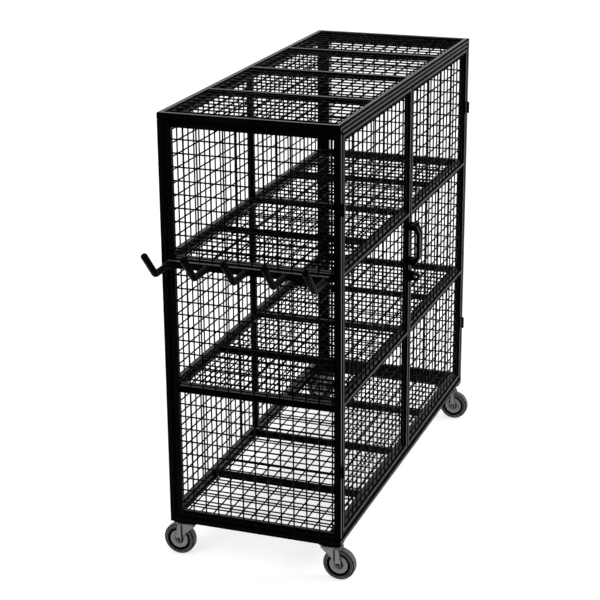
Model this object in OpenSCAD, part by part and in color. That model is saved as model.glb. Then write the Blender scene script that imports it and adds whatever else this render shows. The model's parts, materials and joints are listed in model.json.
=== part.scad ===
// Wire storage cart: a cage of square tube and welded wire mesh on four swivel casters.
// It has two mesh shelves, a pair of hinged mesh doors and a row of hooks on one end.
// Millimetres. X runs along the cart with the hooks at -X, the doors face -Y, and Z is up.
// The origin is on the floor, under the middle of the whole cart's outline.

/* [Cage] */
// Length of the cage
frame_l = 1720; // [1200:10:2200]
// Width of the cage, from the doors to the back
frame_w = 680; // [560:10:900]
// Height of the cage above the casters
frame_h = 1580; // [1400:10:1900]
// Top of the lower shelf frame, above the bottom of the cage
lower_shelf_top = 557; // [420:1:640]
// Top of the upper shelf frame, above the bottom of the cage
upper_shelf_top = 1050; // [960:1:1080]

/* [Tubes] */
// Side of the square tube
tube = 25; // [22:1:30]
// Wall of every tube
tube_wall = 1.5; // [1:0.1:2.5]
// Height of the lower tubes of the shelves and of the long sides
low_tube = 20; // [16:1:22]
// Width of the two cross tubes at the ends of the base
base_end_w = 50; // [40:1:60]
// Height of the bar over the doors
header_h = 12; // [8:1:14]

/* [Mesh] */
// Diameter of a mesh wire
wire_d = 5; // [2.5:0.1:5]
// Distance between neighbouring wires
wire_pitch = 50; // [40:1:80]
// How far the loose mesh of the deck stays from the tubes round it
mesh_gap = 2; // [1:0.5:4]

/* [Doors] */
// Width of a tube's face in the door frames
door_tube = 22; // [18:1:26]
// Depth of the door frames
door_depth = 24; // [16:1:24]
// Gap between a door and the post that carries it
hinge_gap = 3; // [2:0.5:5]
// Gap between the two doors
meeting_gap = 4; // [3:0.5:8]
// Bottom edge of the doors, above the bottom of the cage
door_bottom = 38; // [32:1:60]
// Gap between the doors and the bar over them
door_top_gap = 2; // [1:0.5:5]
// How far the middle of a door's cross rail lies below the top of its shelf
door_rail_drop = 9.5; // [4:0.5:16]
// How far the mesh of a door lies behind its face
door_mesh_inset = 5; // [3:0.5:8]

/* [Handles] */
// Length of a pull handle
handle_l = 164; // [140:1:200]
// Width of a pull handle
handle_w = 22; // [16:1:24]
// How far a handle stands out from the door
handle_out = 45; // [40:1:60]
// Thickness of the handle's arms
handle_arm = 23; // [16:1:26]
// Thickness of the handle's grip
handle_grip = 14; // [10:1:16]
// Height of the slanted outer corner of a handle
handle_slant = 32; // [20:1:36]
// How far that corner is cut back towards the door
handle_slant_in = 17; // [10:1:20]
// Size of the slanted inner corner of a handle
handle_inner_slant = 11; // [6:1:14]
// Middle of the handles, above the bottom of the cage
handle_z = 916; // [900:1:930]
// How far a handle's middle lies off the middle of its stile, towards the hinges
handle_off = 1.5; // [0:0.5:3]
// Diameter of a handle's bolts
handle_bolt_d = 6; // [5:0.5:7]

/* [Locking lugs] */
// Height of a lug where it meets the door
lug_h = 48; // [40:1:60]
// How far a lug stands out from the door
lug_out = 42; // [36:1:50]
// Thickness of a lug
lug_t = 4.5; // [3:0.5:6]
// Diameter of the hole for a padlock
lug_hole_d = 15; // [10:0.5:18]
// Distance of the padlock hole from the door's face
lug_hole_out = 24; // [18:0.5:26]
// Radius of a lug's rounded tip
lug_tip_r = 14; // [12:0.5:16]
// How far the middle of a lug lies below the middle of the handle
lug_drop = 132; // [130:1:180]

/* [Hinges] */
// Height of a hinge
hinge_h = 46; // [36:1:60]
// Outer diameter of the knuckles
knuckle_d = 10; // [10:0.5:14]
// Diameter of the hinge pins
hinge_pin_d = 4.5; // [4:0.5:6]
// Thickness of the hinge leaves
leaf_t = 3; // [2:0.5:4]
// How far a door's leaf reaches over its frame
leaf_reach = 20; // [14:1:22]
// Distance of the hinge axis from the end of the cage
hinge_in = 16; // [14:0.5:18]
// Middle of the lower hinges, above the bottom of the cage
low_hinge_z = 298; // [150:1:400]
// Middle of the upper hinges, above the bottom of the cage
high_hinge_z = 1284; // [1150:1:1350]

/* [Hooks] */
// Number of hooks
hook_count = 5; // [2:1:6]
// Distance of the first hook's axis from the end of the bar
hook_end = 14; // [13:1:60]
// Diameter of a hook
hook_d = 25; // [16:1:25]
// Wall of a hook
hook_wall = 2; // [1.5:0.1:3]
// Length of the level part, from the bar to the middle of the bend
hook_shank = 114; // [80:1:160]
// Length of the rising arm, from the middle of the bend
hook_arm = 126; // [80:1:180]
// Angle at which the arm rises
hook_angle = 47; // [30:1:60]
// Radius of the bend
hook_bend = 20; // [20:1:40]
// Distance of the bar's ends from the sides of the cage
hook_bar_in = 30; // [0:1:60]
// Middle of the bar, above the bottom of the cage
hook_z = 1036; // [600:1:1200]

/* [Casters] */
// Diameter of a wheel
wheel_d = 125; // [100:1:130]
// Width of a wheel
wheel_w = 36; // [30:1:38]
// Radius of the smooth disc of a wheel's centre
disc_r = 38; // [30:1:40]
// Width of the groove between the disc and the tyre
groove_w = 6; // [4:0.5:8]
// Depth of that groove
groove_depth = 8; // [4:0.5:10]
// How far the disc lies inside the sides of the wheel
disc_in = 2; // [1:0.5:4]
// Bevel of the tyre's shoulders
tyre_bevel = 6; // [3:0.5:8]
// Height of a caster above its wheel, to the top of its plate
caster_rise = 21.5; // [21:0.5:40]
// Distance of the swivel axis from the end and the side of the cage
caster_in = 48; // [46:1:60]
// How far the axle trails behind the swivel axis
caster_trail = 30; // [24:1:36]
// Side of the square top plate
plate_side = 76; // [72:1:84]
// Thickness of the top plate
plate_t = 4; // [3:0.5:5]
// Distance between neighbouring bolt holes of the top plate
plate_bolt_pitch = 60; // [58:1:62]
// Diameter of the plate bolts
plate_bolt_d = 6; // [5:0.5:7]
// Height of the upper race under the plate
race_h = 7.5; // [5:0.5:7.5]
// Thickness of the pads under the corners of the base
pad_t = 5; // [4:0.5:6]
// How far a pad reaches beyond the caster's plate
pad_margin = 2; // [1:0.5:4]
// Thickness of a fork's sheet
fork_t = 3; // [2.5:0.5:4]
// Height of the raised rib of a fork leg over the sheet
rib_t = 2.5; // [1.5:0.5:4]
// Gap between a fork leg and the wheel
fork_gap = 2; // [1.5:0.5:3]
// Width of the fork's crown
crown_w = 78; // [76:1:88]
// Height of the crown's upright edge
crown_edge = 5; // [4:1:10]
// Width of the rib at its top
rib_top_w = 16; // [12:1:20]
// How far the rib's top leans towards the swivel axis
rib_lean = 5; // [2:1:8]
// Radius of the rib's round end
rib_end_r = 13; // [11:0.1:14]
// Diameter of the axle
axle_d = 8; // [6:0.5:10]
// Thickness of the axle's head and nut
axle_head_h = 4; // [3:0.5:6]
// Diameter of the king pin on which a fork turns
king_pin_d = 12; // [10:0.5:14]

/* [Hidden] */
$fn = 48;

// Colours of the painted steel, the zinc of the casters and the rubber
paint = [0.16, 0.165, 0.17];
wire_paint = [0.2, 0.205, 0.21];
zinc = [0.55, 0.56, 0.57];
rubber = [0.42, 0.43, 0.44];
hub_grey = [0.5, 0.51, 0.52];

// Reach of the hooks, the wire mesh and the rest of the cart beyond the cage
mesh_t = 2 * wire_d;
hook_reach = mesh_t + tube + hook_shank + hook_arm * cos(hook_angle) + hook_d / 2 * sin(hook_angle);
wheel_r = wheel_d / 2;
wheel_reach = wheel_r + caster_trail - caster_in;

// Faces of the cage: x0 and x1 are its ends, y0 the door side, y1 the back, z0 the bottom.
// Its near end and door side stand at whole millimetres.
x0 = round((hook_reach - frame_l - mesh_t) / 2);
x1 = x0 + frame_l;
xm = (x0 + x1) / 2;
y_front_reach = max(handle_out, wheel_reach);
y_back_reach = max(mesh_t, wheel_reach);
y0 = round((y_front_reach - frame_w - y_back_reach) / 2);
y1 = y0 + frame_w;
z0 = wheel_d + caster_rise + pad_t;
z1 = z0 + frame_h;

// The cross bars of the base, the shelves and the top stand at the quarters of the length
quarters = [for (i = [1 : 3]) x0 + frame_l * i / 4];

// Upright panels stand on the base and carry the top
panel_z0 = z0 + tube;
panel_z1 = z1 - tube;
panel_h = panel_z1 - panel_z0;
shelf_tops = [z0 + lower_shelf_top, z0 + upper_shelf_top];

// Cutters reach past the faces that they open by this much
cut = 1;
// Running clearance, on the radius, of a pin in its bore
pin_clearance = 0.05;
// Clearance between faces that slide past each other
slide_gap = 0.4;
// The bend of a hook is a little thicker than its tubes, and they enter it by this much
bend_swell = 0.1;
bend_lap = 1;

// Doors: hinge-side edge, meeting edge and height
door_w = frame_l / 2 - tube - hinge_gap - meeting_gap / 2;
door_z0 = z0 + door_bottom;
door_z1 = panel_z1 - (header_h - (tube - low_tube)) - door_top_gap;
function door_rail_z(i) = shelf_tops[i] - door_rail_drop - door_tube / 2;
door_rails = [
    [door_z0, door_z0 + door_tube],
    [door_rail_z(0), door_rail_z(0) + door_tube],
    [door_rail_z(1), door_rail_z(1) + door_tube],
    [door_z1 - door_tube, door_z1]
];
knuckle_gap = 0.5;
hinge_y = y0 - knuckle_d / 2 - knuckle_gap;
hinge_zs = [z0 + low_hinge_z, z0 + high_hinge_z];
knuckle_h = hinge_h / 3;
hinge_leaf_in = 2;
pin_head_h = 1.5;
pin_head_rim = 1.5;
pin_head_d = hinge_pin_d + 2 * pin_head_rim;
handle_x = meeting_gap / 2 + door_tube / 2 + handle_off;
handle_bolt_reach = 14;

// Bolts: height of a head, and widths over the corners as multiples of the bolt's diameter
bolt_head_h = 4;
bolt_head_ratio = 1.6;
axle_nut_ratio = 1.7;
handle_bolt_head_ratio = 2;
// How far an axle stands out of its nut
axle_end = 1;

// Casters
pad_z = z0 - pad_t;
plate_z = pad_z - plate_t;
axle_z = wheel_r;
race_d = 60;
low_race_d = 50;
low_race_h = 3;
race_gap = 0.5;
king_head_h = 3;
king_head_rim = 4;
king_head_d = king_pin_d + 2 * king_head_rim;
fork_top = plate_z - race_h - race_gap - low_race_h;
fork_in = wheel_w / 2 + fork_gap;
fork_out = fork_in + fork_t;
rib_out = fork_out + rib_t;
rim_r = disc_r + groove_w;

// A closed length of square tube from one corner to the opposite one
module box_tube(low, high, wall = tube_wall) {
    size = high - low;
    translate(low)
        difference() {
            cube(size);
            translate([wall, wall, wall])
                cube([size.x - 2 * wall, size.y - 2 * wall, size.z - 2 * wall]);
        }
}

// Parallel round wires along X, spread over the width w and centred on it
module wire_row(l, w) {
    n = floor((w - wire_d) / wire_pitch) + 1;
    for (i = [0 : n - 1])
        translate([0, w / 2 + (i - (n - 1) / 2) * wire_pitch, wire_d / 2])
            rotate([0, 90, 0])
                cylinder(d = wire_d, h = l, $fn = 16);
}

// A flat mesh of l by w in the XY plane: one row of wires lies on the other
module wire_mesh(l, w) {
    wire_row(l, w);
    translate([0, w, wire_d])
        rotate([0, 0, -90])
            wire_row(w, l);
}

// Turns a part that is drawn for the near end over to the far end
module at_far_end() {
    translate([x0 + x1, 0, 0])
        mirror([1, 0, 0])
            children();
}

// Base, top and upright panels

module base_frame() {
    color(paint) {
        for (x = [x0, x1 - base_end_w])
            box_tube([x, y0, z0], [x + base_end_w, y1, z0 + tube]);
        for (y = [y0, y1 - tube])
            box_tube([x0 + base_end_w, y, z0 + tube - low_tube],
                     [x1 - base_end_w, y + tube, z0 + tube]);
        for (x = quarters)
            box_tube([x - tube / 2, y0 + tube, z0], [x + tube / 2, y1 - tube, z0 + tube]);
    }
}

// Steel pads under the corners, which the caster plates are bolted to
module corner_pads() {
    half = plate_side / 2 + pad_margin;
    color(paint)
        at_corners()
            difference() {
                translate([-half, -half, pad_z])
                    cube([2 * half, 2 * half, pad_t]);
                plate_holes(pad_z, pad_t);
            }
}

// The frame of the near end: two posts and four cross rails
module end_frame() {
    back = y1 - tube;
    color(paint) {
        for (y = [y0, back - tube])
            box_tube([x0, y, panel_z0], [x0 + tube, y + tube, panel_z1]);
        for (z = [panel_z0, shelf_tops[0] - tube, shelf_tops[1] - tube, panel_z1 - tube])
            box_tube([x0, y0 + tube, z], [x0 + tube, back - tube, z + tube]);
    }
}

module near_end_frame() {
    end_frame();
}

module far_end_frame() {
    at_far_end()
        end_frame();
}

module back_frame() {
    color(paint) {
        for (x = [x0, xm - tube / 2, x1 - tube])
            box_tube([x, y1 - tube, panel_z0], [x + tube, y1, panel_z1]);
        for (z = [panel_z0, shelf_tops[0] - tube, shelf_tops[1] - tube, panel_z1 - tube]) {
            box_tube([x0 + tube, y1 - tube, z], [xm - tube / 2, y1, z + tube]);
            box_tube([xm + tube / 2, y1 - tube, z], [x1 - tube, y1, z + tube]);
        }
    }
}

module top_frame() {
    color(paint) {
        for (x = [x0, x1 - tube])
            box_tube([x, y0, panel_z1], [x + tube, y1, z1]);
        box_tube([x0 + tube, y0, z1 - low_tube], [x1 - tube, y0 + tube, z1]);
        box_tube([x0 + tube, y1 - tube, panel_z1], [x1 - tube, y1, z1]);
        for (x = quarters)
            box_tube([x - tube / 2, y0 + tube, z1 - low_tube], [x + tube / 2, y1 - tube, z1]);
    }
}

// Bar over the doors, against the underside of the top's long tube
module door_header() {
    color(paint)
        translate([x0 + tube, y0, z1 - low_tube - header_h])
            cube([frame_l - 2 * tube, header_h, header_h]);
}

// Low rail behind the doors, which keeps goods off them
module front_stop_rail() {
    color(paint)
        box_tube([x0 + tube, y0 + tube, panel_z0 + tube - low_tube],
                 [x1 - tube, y0 + 2 * tube, panel_z0 + tube]);
}

// Shelves

module shelf_frame(top) {
    low = top - low_tube;
    color(paint) {
        for (y = [y0 + tube, y1 - 2 * tube])
            box_tube([x0 + tube, y, low], [x1 - tube, y + tube, top]);
        for (x = [x0 + tube, x1 - 2 * tube])
            box_tube([x, y0 + 2 * tube, low], [x + tube, y1 - 2 * tube, top]);
        for (x = quarters)
            box_tube([x - tube / 2, y0 + 2 * tube, low], [x + tube / 2, y1 - 2 * tube, top]);
    }
}

module lower_shelf_frame() {
    shelf_frame(shelf_tops[0]);
}

module upper_shelf_frame() {
    shelf_frame(shelf_tops[1]);
}

// The mesh of a shelf reaches halfway over the beams round it
module shelf_mesh(top) {
    edge = tube + tube / 2;
    color(wire_paint)
        translate([x0 + edge, y0 + edge, top])
            wire_mesh(frame_l - 2 * edge, frame_w - 2 * edge);
}

module lower_shelf_mesh() {
    shelf_mesh(shelf_tops[0]);
}

module upper_shelf_mesh() {
    shelf_mesh(shelf_tops[1]);
}

// Mesh of the deck, on the cross tubes of the base
module deck_mesh() {
    low_y = y0 + 2 * tube + mesh_gap;
    high_y = y1 - tube - mesh_gap;
    low_x = x0 + tube + mesh_gap;
    color(wire_paint)
        translate([low_x, low_y, z0 + tube])
            wire_mesh(x1 - tube - mesh_gap - low_x, high_y - low_y);
}

// Mesh in each window of the top, flush with the tubes round it
module top_mesh() {
    starts = [x0 + tube, for (x = quarters) x + tube / 2];
    ends = [for (x = quarters) x - tube / 2, x1 - tube];
    color(wire_paint)
        for (i = [0 : len(starts) - 1])
            translate([starts[i], y0 + tube, z1 - mesh_t])
                wire_mesh(ends[i] - starts[i], frame_w - 2 * tube);
}

// Mesh on the outer face of the near end, from the middle of one tube to the middle of the next
module end_mesh() {
    color(wire_paint)
        translate([x0, y1 - tube - tube / 2, panel_z0 + tube / 2])
            rotate([90, 0, -90])
                wire_mesh(frame_w - 2 * tube, panel_h - tube);
}

module near_end_mesh() {
    end_mesh();
}

module far_end_mesh() {
    at_far_end()
        end_mesh();
}

module back_mesh() {
    color(wire_paint)
        translate([x1 - tube / 2, y1, panel_z0 + tube / 2])
            rotate([90, 0, 180])
                wire_mesh(frame_l - tube, panel_h - tube);
}

// Hooks

module hook_bar() {
    color(paint)
        box_tube([x0 - mesh_t - tube, y0 + hook_bar_in, z0 + hook_z - tube / 2],
                 [x0 - mesh_t, y1 - hook_bar_in, z0 + hook_z + tube / 2]);
}

// A straight length of round tube along Z, closed at one end only
module hook_tube(l, closed_low) {
    inner_r = hook_d / 2 - hook_wall;
    difference() {
        cylinder(d = hook_d, h = l);
        translate([0, 0, closed_low ? hook_wall : -cut])
            cylinder(r = inner_r, h = l - hook_wall + cut);
    }
}

// One hook: a level tube and a rising arm, pushed a little way into a bend
module hook() {
    tangent = hook_bend * tan(hook_angle / 2);
    level = hook_shank - tangent;
    bend_d = hook_d + 2 * bend_swell;
    rotate([0, -90, 0])
        hook_tube(level + bend_lap, true);
    translate([-level, 0, hook_bend])
        rotate([-90, 90, 0])
            rotate_extrude(angle = hook_angle)
                translate([hook_bend, 0])
                    difference() {
                        circle(d = bend_d);
                        circle(d = bend_d - 2 * hook_wall - 4 * bend_swell);
                    }
    translate([-hook_shank, 0, 0])
        rotate([0, hook_angle - 90, 0])
            translate([0, 0, tangent - bend_lap])
                hook_tube(hook_arm - tangent + bend_lap, false);
}

module hooks() {
    first = y0 + hook_bar_in + hook_end;
    pitch = (frame_w - 2 * (hook_bar_in + hook_end)) / (hook_count - 1);
    color(paint)
        for (i = [0 : hook_count - 1])
            translate([x0 - mesh_t - tube, first + i * pitch, z0 + hook_z])
                hook();
}

// Doors, drawn for the near end

// The bore through a whole hinge, wider than its pin by the given clearance on the radius
module hinge_bore(zc, clearance) {
    translate([x0 + hinge_in, hinge_y, zc - hinge_h / 2 - cut])
        cylinder(r = hinge_pin_d / 2 + clearance, h = hinge_h + 2 * cut);
}

// One knuckle and the leaf that joins it, from x_low to x_high
module knuckle(z, x_low, x_high, y_leaf) {
    h = knuckle_h - slide_gap;
    translate([x0 + hinge_in, hinge_y, z])
        cylinder(d = knuckle_d, h = h);
    translate([x_low, y_leaf, z])
        cube([x_high - x_low, leaf_t, h]);
}

// The outer knuckles and their leaves on the post
module post_hinges() {
    color(paint)
        for (zc = hinge_zs)
            difference() {
                for (z = [zc - hinge_h / 2, zc + hinge_h / 2 - knuckle_h + slide_gap])
                    knuckle(z, x0 + hinge_leaf_in, x0 + hinge_in, y0 - leaf_t);
                hinge_bore(zc, 0);
            }
}

// The leaf on the door and the knuckle between the other two
module door_hinges() {
    x_leaf = x0 + tube + hinge_gap;
    color(paint)
        for (zc = hinge_zs)
            difference() {
                union() {
                    knuckle(zc - (knuckle_h - slide_gap) / 2, x0 + hinge_in, x_leaf + leaf_reach,
                            y0 - leaf_t - slide_gap);
                    translate([x_leaf, y0 - leaf_t, zc - hinge_h / 2])
                        cube([leaf_reach, leaf_t, hinge_h]);
                }
                hinge_bore(zc, pin_clearance);
            }
}

module hinge_pins() {
    color(paint)
        for (zc = hinge_zs)
            translate([x0 + hinge_in, hinge_y, zc - hinge_h / 2]) {
                translate([0, 0, -pin_head_h])
                    cylinder(d = hinge_pin_d, h = hinge_h + pin_head_h);
                for (z = [-pin_head_h, hinge_h])
                    translate([0, 0, z])
                        cylinder(d = pin_head_d, h = pin_head_h);
            }
}

module door_frame() {
    x_hinge = x0 + tube + hinge_gap;
    x_meet = x_hinge + door_w;
    y_in = y0 + door_depth;
    color(paint)
        difference() {
            union() {
                for (x = [x_hinge, x_meet - door_tube])
                    box_tube([x, y0, door_z0], [x + door_tube, y_in, door_z1]);
                for (r = door_rails)
                    box_tube([x_hinge + door_tube, y0, r[0]], [x_meet - door_tube, y_in, r[1]]);
            }
            handle_bolt_holes(y0 - cut, door_depth + 2 * cut);
        }
}

// Wires in each window of a door, from tube to tube
module door_mesh() {
    x_low = x0 + tube + hinge_gap + door_tube;
    w = door_w - 2 * door_tube;
    color(wire_paint)
        for (i = [0 : 2]) {
            z_low = door_rails[i][1];
            h = door_rails[i + 1][0] - z_low;
            translate([x_low, y0 + door_mesh_inset + mesh_t, z_low])
                rotate([90, 0, 0])
                    wire_mesh(w, h);
        }
}

// Outline of the pull handle, with the door's face on its Y axis
module handle_outline() {
    half = handle_l / 2;
    inner_half = half - handle_arm;
    inner_out = handle_out - handle_grip;
    difference() {
        polygon([
            [0, -half], [handle_out - handle_slant_in, -half], [handle_out, handle_slant - half],
            [handle_out, half - handle_slant], [handle_out - handle_slant_in, half], [0, half]
        ]);
        polygon([
            [-cut, -inner_half], [inner_out - handle_inner_slant, -inner_half],
            [inner_out, handle_inner_slant - inner_half], [inner_out, inner_half - handle_inner_slant],
            [inner_out - handle_inner_slant, inner_half], [-cut, inner_half]
        ]);
    }
}

module handle() {
    color(paint)
        difference() {
            translate([xm - handle_x + handle_w / 2, y0, z0 + handle_z])
                rotate([90, 0, -90])
                    linear_extrude(height = handle_w)
                        handle_outline();
            handle_bolt_holes(y0 - handle_bolt_reach, handle_bolt_reach + cut);
        }
}

// Holes for the two bolts of a handle, along Y
module handle_bolt_holes(y, l) {
    for (z = handle_bolt_zs())
        translate([xm - handle_x, y, z])
            rotate([-90, 0, 0])
                cylinder(d = handle_bolt_d, h = l);
}

function handle_bolt_zs() = [
    for (s = [-1, 1]) z0 + handle_z + s * (handle_l - handle_arm) / 2
];

// Bolts from inside the door into the arms of the handle
module handle_bolts() {
    l = handle_bolt_reach + door_depth;
    color(zinc)
        for (z = handle_bolt_zs())
            translate([xm - handle_x, y0 - handle_bolt_reach, z])
                rotate([-90, 0, 0]) {
                    cylinder(d = handle_bolt_d, h = l);
                    translate([0, 0, l])
                        cylinder(d = handle_bolt_head_ratio * handle_bolt_d, h = bolt_head_h, $fn = 6);
                }
}

// A lug is a plate on edge with a rounded tip and a hole across it
module lug() {
    tip = lug_tip_r - lug_out;
    color(paint)
        translate([xm - meeting_gap / 2 - lug_t, y0, z0 + handle_z - lug_drop])
            rotate([90, 0, 90])
                difference() {
                    linear_extrude(height = lug_t) {
                        translate([tip, 0])
                            circle(r = lug_tip_r);
                        polygon([[0, -lug_h / 2], [0, lug_h / 2], [tip, lug_tip_r], [tip, -lug_tip_r]]);
                    }
                    translate([-lug_hole_out, 0, -cut])
                        cylinder(d = lug_hole_d, h = lug_t + 2 * cut);
                }
}

module near_post_hinges() {
    post_hinges();
}

module near_hinge_pins() {
    hinge_pins();
}

module near_door_hinges() {
    door_hinges();
}

module near_door_frame() {
    door_frame();
}

module near_door_mesh() {
    door_mesh();
}

module near_handle() {
    handle();
}

module near_handle_bolts() {
    handle_bolts();
}

module near_lug() {
    lug();
}

module far_post_hinges() {
    at_far_end()
        post_hinges();
}

module far_hinge_pins() {
    at_far_end()
        hinge_pins();
}

module far_door_hinges() {
    at_far_end()
        door_hinges();
}

module far_door_frame() {
    at_far_end()
        door_frame();
}

module far_door_mesh() {
    at_far_end()
        door_mesh();
}

module far_handle() {
    at_far_end()
        handle();
}

module far_handle_bolts() {
    at_far_end()
        handle_bolts();
}

module far_lug() {
    at_far_end()
        lug();
}

// Casters

// Puts a part drawn for the near door corner round its swivel axis at a corner:
// end is -1 near and 1 far, side is -1 door and 1 back
module at_corner(end, side) {
    translate([end < 0 ? x0 + caster_in : x1 - caster_in, side < 0 ? y0 + caster_in : y1 - caster_in, 0])
        mirror([end > 0 ? 1 : 0, 0, 0])
            mirror([0, side > 0 ? 1 : 0, 0])
                children();
}

module at_corners() {
    for (end = [-1, 1])
        for (side = [-1, 1])
            at_corner(end, side)
                children();
}

// The places of the four bolts of a plate
module at_plate_bolts() {
    for (x = [-1, 1])
        for (y = [-1, 1])
            translate([x * plate_bolt_pitch / 2, y * plate_bolt_pitch / 2, 0])
                children();
}

module plate_holes(z, h) {
    at_plate_bolts()
        translate([0, 0, z - cut])
            cylinder(d = plate_bolt_d, h = h + 2 * cut);
}

// Top plate with the upper race pressed into it, painted with the cage
module caster_plates() {
    color(paint)
        at_corners()
            difference() {
                union() {
                    translate([-plate_side / 2, -plate_side / 2, plate_z])
                        cube([plate_side, plate_side, plate_t]);
                    translate([0, 0, plate_z - race_h])
                        cylinder(d = race_d, h = race_h);
                }
                plate_holes(plate_z, plate_t);
                translate([0, 0, plate_z - race_h - cut])
                    cylinder(d = king_pin_d, h = race_h + plate_t + 2 * cut);
            }
}

// The four bolts of each plate, with their heads below it
module caster_plate_bolts() {
    color(zinc)
        at_corners()
            at_plate_bolts() {
                translate([0, 0, plate_z])
                    cylinder(d = plate_bolt_d, h = plate_t + pad_t);
                translate([0, 0, plate_z - bolt_head_h])
                    cylinder(d = bolt_head_ratio * plate_bolt_d, h = bolt_head_h, $fn = 6);
            }
}

// King pins: a shaft through plate and crown, with a head under the crown
module caster_king_pins() {
    low = fork_top - fork_t - slide_gap;
    color(zinc)
        at_corners() {
            translate([0, 0, low - king_head_h])
                cylinder(d = king_head_d, h = king_head_h);
            translate([0, 0, low])
                cylinder(d = king_pin_d, h = pad_z - low);
        }
}

// Outline of a fork's side in the plane across the axle: a crown that slants down to the axle
module side_outline() {
    polygon([
        [crown_w / 2, fork_top], [crown_w / 2, fork_top - crown_edge], [-caster_trail, axle_z],
        [-crown_w / 2, fork_top - crown_edge], [-crown_w / 2, fork_top]
    ]);
}

// Outline of the raised rib: straight sides from the crown to a round end round the axle
module rib_outline() {
    top_y = rib_lean - caster_trail;
    translate([-caster_trail, axle_z])
        circle(r = rib_end_r);
    polygon([
        [top_y - rib_top_w / 2, fork_top], [top_y + rib_top_w / 2, fork_top],
        [rib_end_r - caster_trail, axle_z], [-rib_end_r - caster_trail, axle_z]
    ]);
}

// A side outline along Y and Z as a plate between two places along X
module upright(low_x, high_x) {
    translate([low_x, 0, 0])
        rotate([90, 0, 90])
            linear_extrude(height = high_x - low_x)
                children();
}

module fork() {
    color(zinc)
        difference() {
            union() {
                upright(-fork_out, -fork_in) side_outline();
                upright(fork_in, fork_out) side_outline();
                upright(-rib_out, -fork_in) rib_outline();
                upright(fork_in, rib_out) rib_outline();
                translate([-fork_out, -crown_w / 2, fork_top - fork_t])
                    cube([2 * fork_out, crown_w, fork_t]);
                translate([0, 0, fork_top])
                    cylinder(d = low_race_d, h = low_race_h);
            }
            translate([0, 0, fork_top - fork_t - cut])
                cylinder(r = king_pin_d / 2 + pin_clearance, h = fork_t + low_race_h + 2 * cut);
            translate([-rib_out - cut, -caster_trail, axle_z])
                rotate([0, 90, 0])
                    cylinder(d = axle_d, h = 2 * rib_out + 2 * cut);
        }
}

// Axle bolt with a round head and a nut
module axle() {
    color(zinc)
        translate([-rib_out, -caster_trail, axle_z])
            rotate([0, 90, 0]) {
                translate([0, 0, -axle_head_h])
                    cylinder(d = bolt_head_ratio * axle_d, h = axle_head_h);
                cylinder(d = axle_d, h = 2 * rib_out + axle_head_h + axle_end);
                translate([0, 0, 2 * rib_out])
                    cylinder(d = axle_nut_ratio * axle_d, h = axle_head_h, $fn = 6);
            }
}

// A solid of revolution round a caster's axle
module turned() {
    translate([0, -caster_trail, axle_z])
        rotate([0, 90, 0])
            rotate_extrude($fn = 96)
                children();
}

// Moulded wheel centre: a thick disc and a groove round it, up to the tyre
module hub() {
    bore_r = axle_d / 2 + pin_clearance;
    disc_half = wheel_w / 2 - disc_in;
    floor_half = disc_half - groove_depth;
    color(hub_grey)
        turned()
            polygon([
                [bore_r, -disc_half], [disc_r, -disc_half], [disc_r, -floor_half], [rim_r, -floor_half],
                [rim_r, floor_half], [disc_r, floor_half], [disc_r, disc_half], [bore_r, disc_half]
            ]);
}

// Rubber tyre with bevelled shoulders
module tyre() {
    half = wheel_w / 2;
    color(rubber)
        turned()
            polygon([
                [rim_r, -half], [wheel_r - tyre_bevel, -half], [wheel_r, tyre_bevel - half],
                [wheel_r, half - tyre_bevel], [wheel_r - tyre_bevel, half], [rim_r, half]
            ]);
}

base_frame();
corner_pads();
near_end_frame();
far_end_frame();
back_frame();
top_frame();
door_header();
front_stop_rail();
lower_shelf_frame();
upper_shelf_frame();
near_end_mesh();
far_end_mesh();
back_mesh();
top_mesh();
deck_mesh();
lower_shelf_mesh();
upper_shelf_mesh();
hook_bar();
hooks();
near_post_hinges();
far_post_hinges();
near_hinge_pins();
far_hinge_pins();
near_door_frame();
near_door_mesh();
near_door_hinges();
near_handle();
near_handle_bolts();
near_lug();
far_door_frame();
far_door_mesh();
far_door_hinges();
far_handle();
far_handle_bolts();
far_lug();
caster_plates();
caster_plate_bolts();
caster_king_pins();
at_corner(-1, 1) fork();  // near_back_fork
at_corner(-1, 1) axle();  // near_back_axle
at_corner(-1, 1) hub();  // near_back_hub
at_corner(-1, 1) tyre();  // near_back_tyre
at_corner(-1, -1) fork();  // near_door_fork
at_corner(-1, -1) axle();  // near_door_axle
at_corner(-1, -1) hub();  // near_door_hub
at_corner(-1, -1) tyre();  // near_door_tyre
at_corner(1, 1) fork();  // far_back_fork
at_corner(1, 1) axle();  // far_back_axle
at_corner(1, 1) hub();  // far_back_hub
at_corner(1, 1) tyre();  // far_back_tyre
at_corner(1, -1) fork();  // far_door_fork
at_corner(1, -1) axle();  // far_door_axle
at_corner(1, -1) hub();  // far_door_hub
at_corner(1, -1) tyre();  // far_door_tyre
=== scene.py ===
import json
import math

import bmesh
import bpy
import numpy as np
from mathutils import Matrix, Vector

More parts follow.
